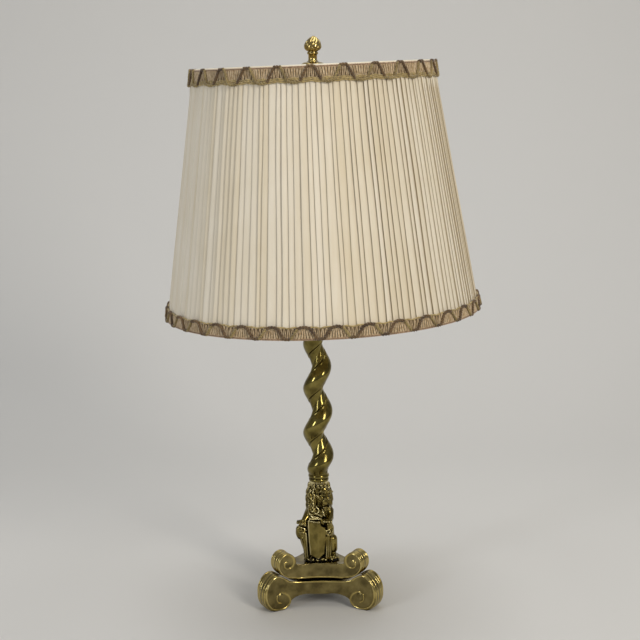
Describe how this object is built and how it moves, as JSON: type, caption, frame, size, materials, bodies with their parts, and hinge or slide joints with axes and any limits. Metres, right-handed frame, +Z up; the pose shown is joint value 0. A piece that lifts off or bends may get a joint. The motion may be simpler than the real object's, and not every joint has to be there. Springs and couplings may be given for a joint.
{
  "type": "table lamp",
  "caption": "Tall brass table lamp with a scroll-footed base, seated lion, barley-twist column, pleated fabric shade and bud finial.",
  "frame": {"origin": "on the lamp's vertical axis, on the surface that its three feet stand on", "axes": "+Z up along the column, -Y to the front that the shield faces, +X to the viewer's right"},
  "size_m": [0.4195, 0.4196, 0.7645],
  "materials": {
    "polished_cast_brass": "polished, darkened in the hollows",
    "aged_cast_brass": "cast, worn bright on the high spots",
    "twist_brass": "polished, aged in the creases",
    "turned_brass": "turned and lacquered",
    "spring_brass": "bright rolled sheet",
    "zinc_steel": "zinc plated",
    "shade_wire": "dark lacquered wire",
    "porcelain": "unglazed",
    "bulb_aluminium": "rolled thread",
    "opal_glass": "opal",
    "black_moulding": "moulded",
    "pleated_silk": "knife pleated, slightly lustrous",
    "lining_cloth": "plain stretched lining",
    "woven_braid": "woven trimming with a zigzag cord"
  },
  "bodies": {
    "root": {"base_lower": "polished_cast_brass", "base_upper": "polished_cast_brass", "lion": "aged_cast_brass", "collar": "twist_brass", "twist_column": "twist_brass", "column_cap": "turned_brass", "lamp_pipe": "zinc_steel", "bottom_washer": "zinc_steel", "bottom_nut": "zinc_steel", "cord_bush": "black_moulding", "cluster_body": "turned_brass", "centre_rod": "turned_brass", "shade_rest": "turned_brass", "arm_left": "turned_brass", "holder_cap_left": "turned_brass", "holder_core_left": "porcelain", "holder_shell_left": "turned_brass", "holder_contact_left": "spring_brass", "holder_sleeve_left": "spring_brass", "holder_ring_left": "turned_brass", "arm_right": "turned_brass", "holder_cap_right": "turned_brass", "holder_core_right": "porcelain", "holder_shell_right": "turned_brass", "holder_contact_right": "spring_brass", "holder_sleeve_right": "spring_brass", "holder_ring_right": "turned_brass"},
    "saucer": {"saucer": "turned_brass"},
    "shade": {"spider_hub": "turned_brass", "spider_arms": "shade_wire", "top_ring": "shade_wire", "bottom_ring": "shade_wire", "struts": "shade_wire", "lining": "lining_cloth", "pleated_cover": "pleated_silk", "top_braid": "woven_braid", "bottom_braid": "woven_braid"},
    "finial": {"finial": "turned_brass"},
    "key_left": {"key_left": "turned_brass"},
    "bulb_left": {"bulb_cap_left": "bulb_aluminium", "bulb_glass_left": "opal_glass"},
    "key_right": {"key_right": "turned_brass"},
    "bulb_right": {"bulb_cap_right": "bulb_aluminium", "bulb_glass_right": "opal_glass"}
  },
  "joints": [
    {"name": "shade_lift", "type": "slide", "parent": "root", "child": "saucer", "axis": [0, 0, 1], "range_m": [0, 0.36]},
    {"name": "shade_turn", "type": "hinge", "parent": "saucer", "child": "shade", "pos_m": [0, 0, 0.726], "axis": [0, 0, 1], "continuous": true},
    {"name": "finial_turn", "type": "hinge", "parent": "saucer", "child": "finial", "pos_m": [0, 0, 0.7345], "axis": [0, 0, 1], "continuous": true},
    {"name": "key_left_turn", "type": "hinge", "parent": "root", "child": "key_left", "pos_m": [-0.067, 0, 0.458], "axis": [1, 0, 0], "continuous": true},
    {"name": "bulb_left_out", "type": "slide", "parent": "root", "child": "bulb_left", "axis": [0, 0, 1], "range_m": [0, 0.03]},
    {"name": "key_right_turn", "type": "hinge", "parent": "root", "child": "key_right", "pos_m": [0.067, 0, 0.458], "axis": [1, 0, 0], "continuous": true},
    {"name": "bulb_right_out", "type": "slide", "parent": "root", "child": "bulb_right", "axis": [0, 0, 1], "range_m": [0, 0.03]}
  ]
}
